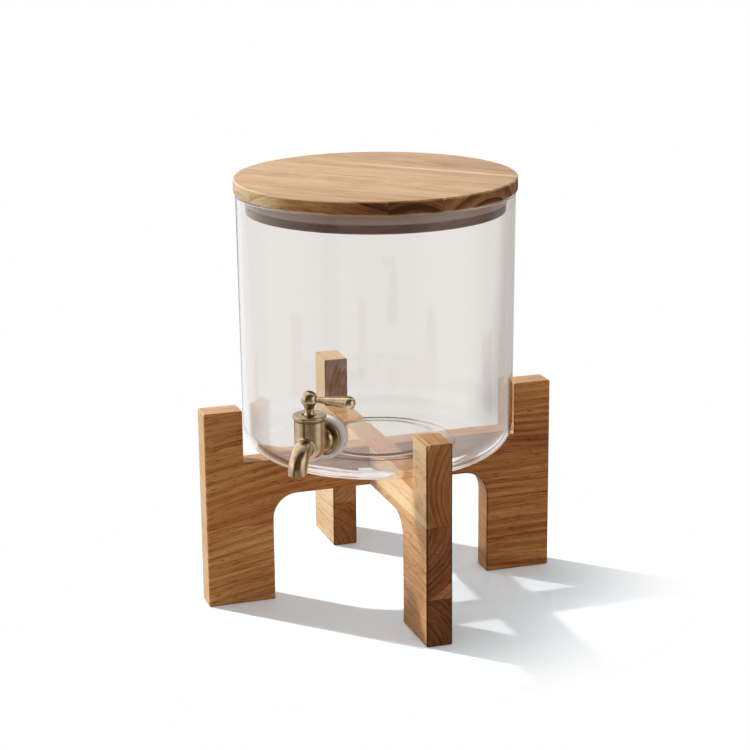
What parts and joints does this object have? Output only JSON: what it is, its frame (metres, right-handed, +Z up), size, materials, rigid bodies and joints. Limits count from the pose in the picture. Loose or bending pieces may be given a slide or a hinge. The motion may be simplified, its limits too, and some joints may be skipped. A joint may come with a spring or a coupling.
{
  "type": "beverage dispenser",
  "caption": "Clear glass drink jar with a wooden plug lid and a brass lever tap, standing in a cross-lapped wooden stand.",
  "frame": {"origin": "on the floor under the jar's axis, at the middle of the stand's cross", "axes": "+Z up along the jar's axis; the rails run along X and Y; -Y is the front leg, and the tap points 38 degrees from -Y towards -X"},
  "size_m": [0.2658, 0.2658, 0.308],
  "materials": {
    "acacia_stand": "satin oiled",
    "acacia_lid": "satin oiled",
    "clear_glass": "clear polished",
    "silicone": "translucent white",
    "brass": "satin antique",
    "black_rubber": "matt"
  },
  "bodies": {
    "stand": {"rail_left_right": "acacia_stand", "rail_front_back": "acacia_stand"},
    "jar": {"glass_jar": "clear_glass", "tap_body": "brass", "tap_flange_ring": "brass", "tap_outer_gasket": "silicone", "tap_inner_gasket": "silicone", "tap_inner_washer": "brass", "tap_lock_nut": "brass", "valve_sleeve": "silicone", "bonnet_washer": "black_rubber", "bonnet_cap": "brass"},
    "lid": {"lid_disc": "acacia_lid", "lid_plug": "acacia_lid", "lid_seal": "silicone"},
    "handle": {"valve_plug": "brass", "valve_o_ring": "black_rubber", "handle_hub": "brass", "handle_lever": "brass", "handle_grub_screw": "brass"}
  },
  "joints": [
    {"name": "jar_lift", "type": "slide", "parent": "stand", "child": "jar", "axis": [0, 0, 1], "range_m": [0, 0.06]},
    {"name": "lid_lift", "type": "slide", "parent": "jar", "child": "lid", "axis": [0, 0, 1], "range_m": [0, 0.08]},
    {"name": "handle_turn", "type": "hinge", "parent": "jar", "child": "handle", "pos_m": [-0.08131, -0.10006, 0.17], "axis": [0, 0, 1], "range_deg": [-90, 0]}
  ]
}
